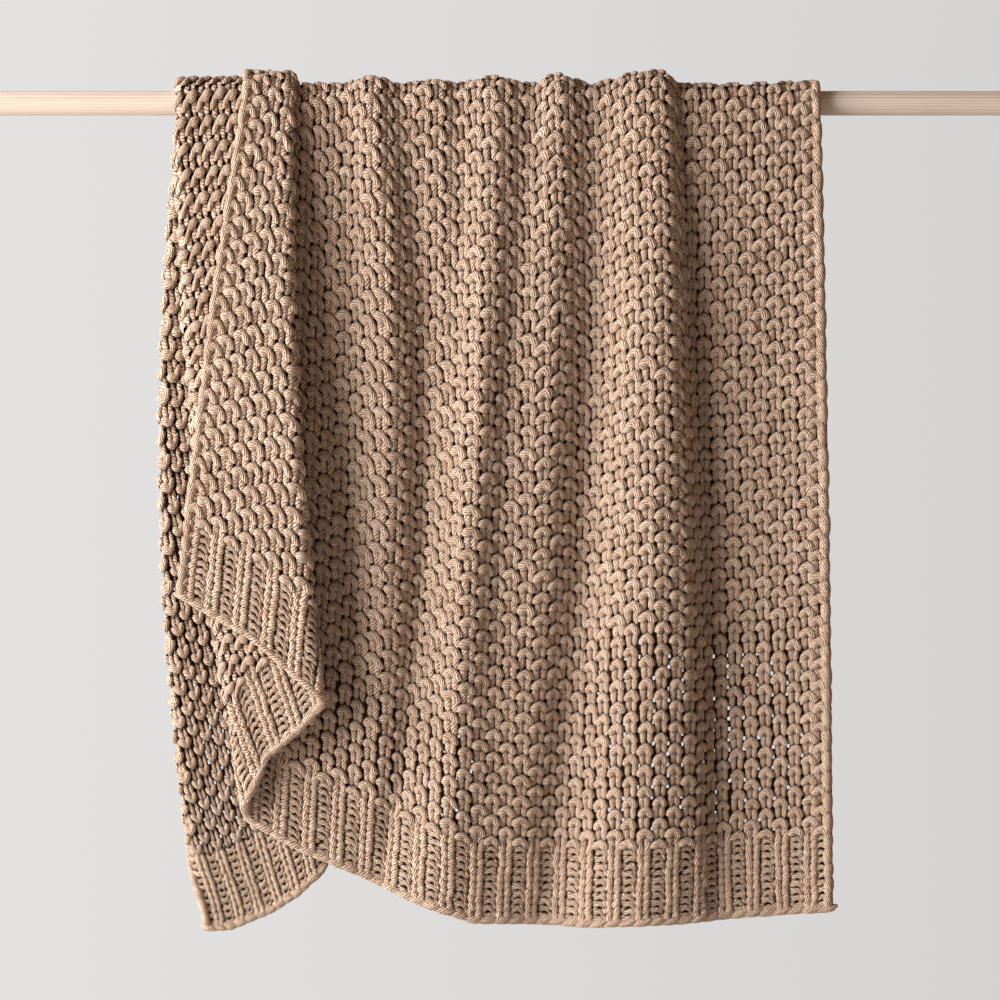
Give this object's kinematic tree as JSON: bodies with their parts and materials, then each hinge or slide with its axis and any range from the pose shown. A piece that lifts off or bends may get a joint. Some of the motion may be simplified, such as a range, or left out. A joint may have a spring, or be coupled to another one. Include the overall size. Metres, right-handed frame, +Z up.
{
  "type": "chunky knit blanket on a wooden rod",
  "caption": "Chunky knit throw with ribbed borders, hung over a round wooden rod in uneven folds, its left margin laid in a pleat.",
  "frame": {"origin": "centre of the rod's left end face", "axes": "+X along the rod, +Z up, the blanket's front half on the -Y side"},
  "size_m": [1.2, 0.1097, 0.9478],
  "materials": {
    "knit": "matte chunky cotton yarn",
    "wood": "plain sanded pine"
  },
  "bodies": {
    "root": {"blanket": "knit", "rod": "wood"}
  },
  "joints": []
}
